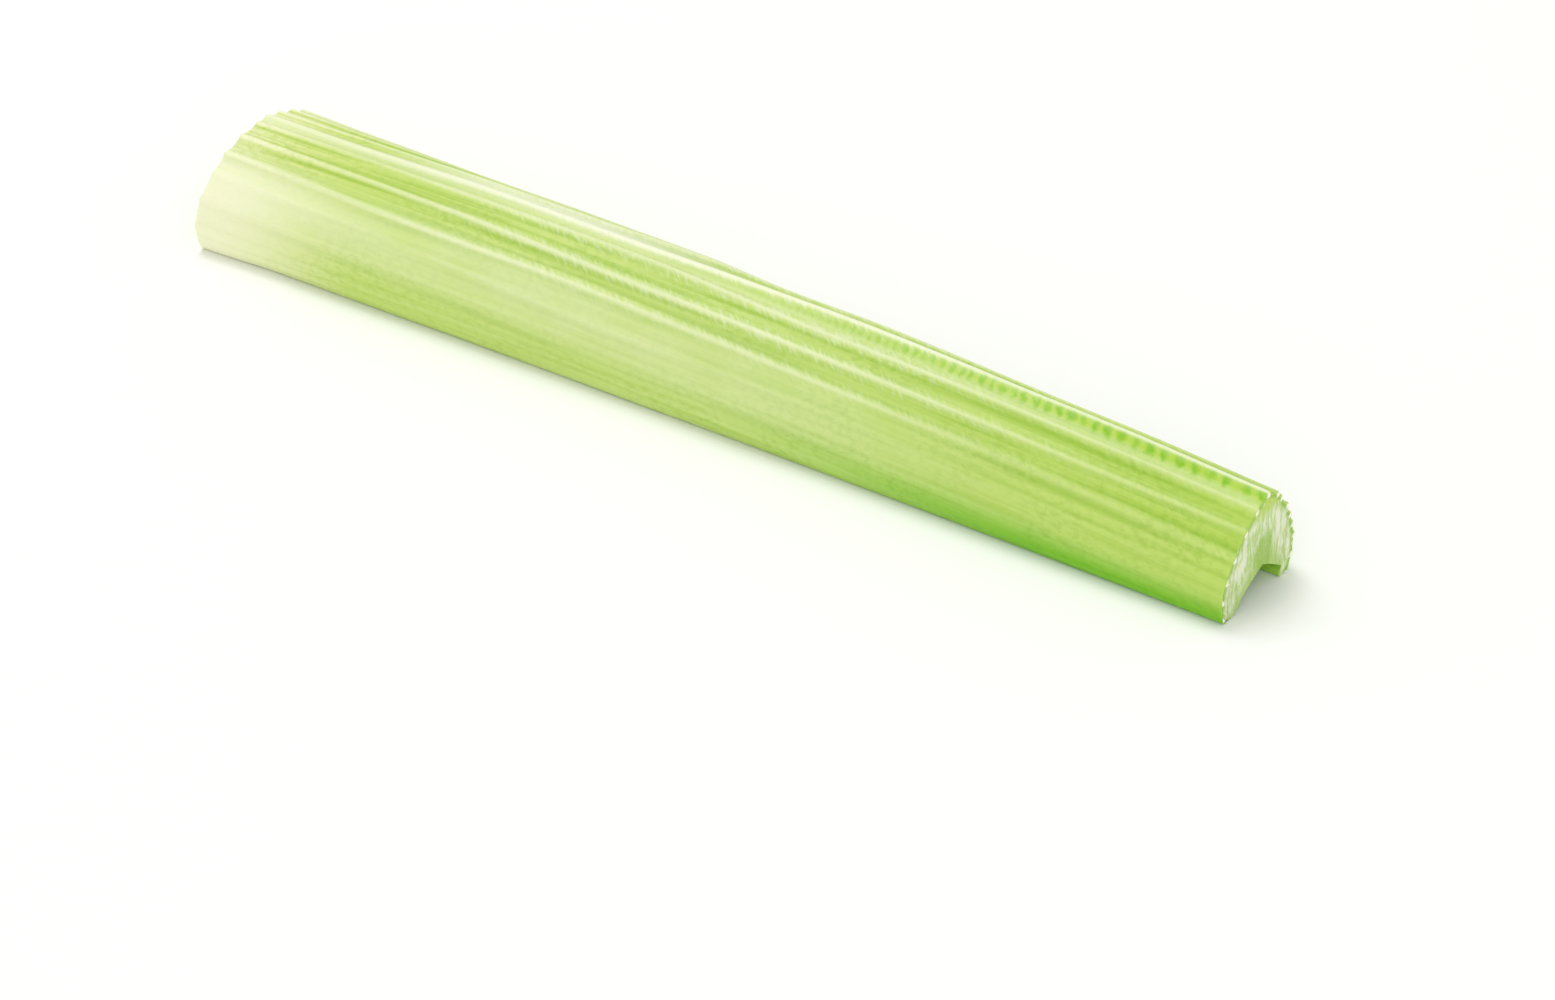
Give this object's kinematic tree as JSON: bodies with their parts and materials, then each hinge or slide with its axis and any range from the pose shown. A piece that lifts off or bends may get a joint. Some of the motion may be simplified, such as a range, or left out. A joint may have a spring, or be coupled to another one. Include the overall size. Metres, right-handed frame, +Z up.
{
  "type": "celery stick",
  "caption": "Cut celery stick: a ribbed, tapering leaf stalk with an open channel underneath, flat at both cut ends, lying on the channel's margins.",
  "frame": {"origin": "on the surface under the middle of the stick, halfway along its length and across its width", "axes": "+X along the stick from the wide base cut to the narrow leaf-side cut, +Y across it, +Z up to the keel"},
  "size_m": [0.165, 0.0282, 0.0168],
  "materials": {
    "celery_flesh": "moist, slightly glossy, translucent pale green skin with paler cut ends"
  },
  "bodies": {
    "root": {"celery_stick": "celery_flesh"}
  },
  "joints": []
}
